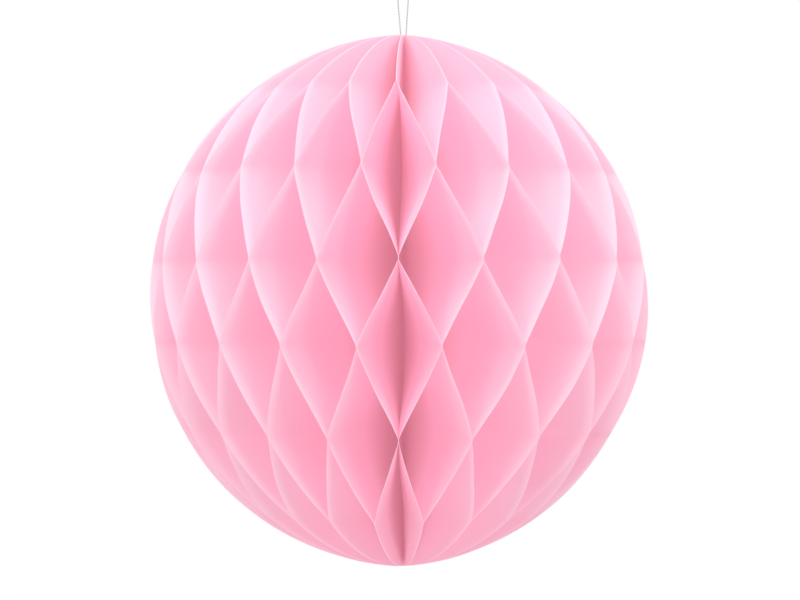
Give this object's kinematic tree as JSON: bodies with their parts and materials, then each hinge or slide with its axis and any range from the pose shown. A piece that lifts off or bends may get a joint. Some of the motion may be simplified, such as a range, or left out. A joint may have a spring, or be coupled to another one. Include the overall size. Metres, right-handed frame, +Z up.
{
  "type": "honeycomb paper ball",
  "caption": "Hanging paper ball of thin tissue leaves glued into open lozenge cells round an upright spine, with a thread loop at the top.",
  "frame": {"origin": "middle of the ball", "axes": "+Z up along the spine towards the thread loop, front at -Y, rear seam with the end cards at +Y"},
  "size_m": [0.1864, 0.1865, 0.2461],
  "materials": {
    "tissue": "matt translucent tissue",
    "card": "matt card",
    "adhesive": "sticky film",
    "thread": "twisted cotton thread"
  },
  "bodies": {
    "root": {"tissue_leaf_01": "tissue", "tissue_leaf_02": "tissue", "tissue_leaf_03": "tissue", "tissue_leaf_04": "tissue", "tissue_leaf_05": "tissue", "tissue_leaf_06": "tissue", "tissue_leaf_07": "tissue", "tissue_leaf_08": "tissue", "tissue_leaf_09": "tissue", "tissue_leaf_10": "tissue", "tissue_leaf_11": "tissue", "tissue_leaf_12": "tissue", "tissue_leaf_13": "tissue", "tissue_leaf_14": "tissue", "tissue_leaf_15": "tissue", "tissue_leaf_16": "tissue", "tissue_leaf_17": "tissue", "tissue_leaf_18": "tissue", "tissue_leaf_19": "tissue", "tissue_leaf_20": "tissue", "tissue_leaf_21": "tissue", "tissue_leaf_22": "tissue", "tissue_leaf_23": "tissue", "tissue_leaf_24": "tissue", "tissue_leaf_25": "tissue", "tissue_leaf_26": "tissue", "tissue_leaf_27": "tissue", "tissue_leaf_28": "tissue", "tissue_leaf_29": "tissue", "tissue_leaf_30": "tissue", "tissue_leaf_31": "tissue", "tissue_leaf_32": "tissue", "tissue_leaf_33": "tissue", "tissue_leaf_34": "tissue", "tissue_leaf_35": "tissue", "tissue_leaf_36": "tissue", "tissue_leaf_37": "tissue", "tissue_leaf_38": "tissue", "tissue_leaf_39": "tissue", "tissue_leaf_40": "tissue", "end_card_left": "card", "end_card_right": "card", "closing_strip": "adhesive", "hanging_thread": "thread", "thread_knot": "thread"}
  },
  "joints": []
}
